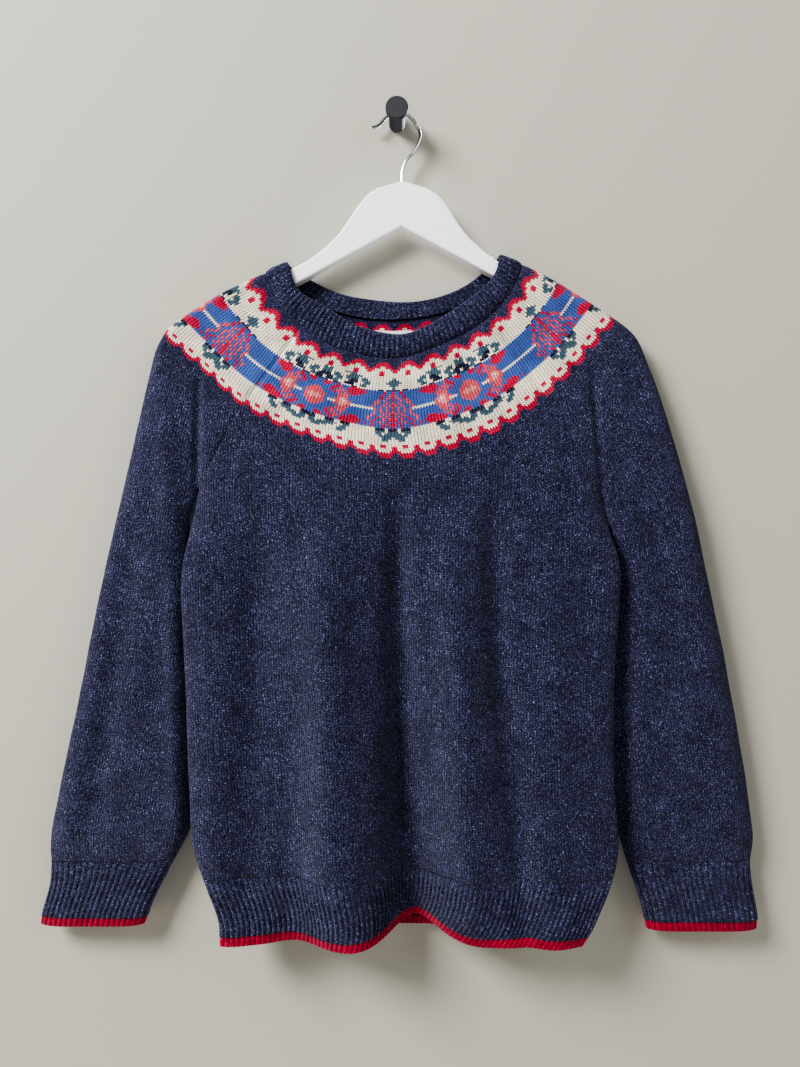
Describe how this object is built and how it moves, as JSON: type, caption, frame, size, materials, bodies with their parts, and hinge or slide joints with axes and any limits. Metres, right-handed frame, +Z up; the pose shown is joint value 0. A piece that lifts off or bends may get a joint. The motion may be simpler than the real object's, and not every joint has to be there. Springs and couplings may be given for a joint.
{
  "type": "fair isle jumper on a hanger and wall peg",
  "caption": "Long-sleeved yoke jumper in wool with a fair isle yoke and ribbed edges, hanging on a wooden hanger from a round wall peg.",
  "frame": {"origin": "centre of the peg's back face, on the wall", "axes": "+Z up, +Y into the wall, +X to the viewer's right; the garment's front faces -Y"},
  "size_m": [0.7386, 0.0725, 0.8511],
  "materials": {
    "navy_wool": "matt heather knit",
    "red_wool": "matt knit",
    "fair_isle_wool": "matt stranded knit in navy, red, coral, blue, teal and cream",
    "label_cloth": "satin woven, bare",
    "white_paint": "white satin paint",
    "hook_wire": "polished wire",
    "black_peg": "matt black powder coat"
  },
  "bodies": {
    "root": {"neckband": "navy_wool", "yoke": "fair_isle_wool", "front": "navy_wool", "back": "navy_wool", "sleeve_left": "navy_wool", "sleeve_right": "navy_wool", "cuff_left": "navy_wool", "cuff_right": "navy_wool", "welt_front": "navy_wool", "welt_back": "navy_wool", "hem_tip_front": "red_wool", "hem_tip_back": "red_wool", "cuff_tip_left": "red_wool", "cuff_tip_right": "red_wool", "neck_label": "label_cloth", "hanger": "white_paint", "hanger_hook": "hook_wire", "wall_peg": "black_peg"}
  },
  "joints": []
}
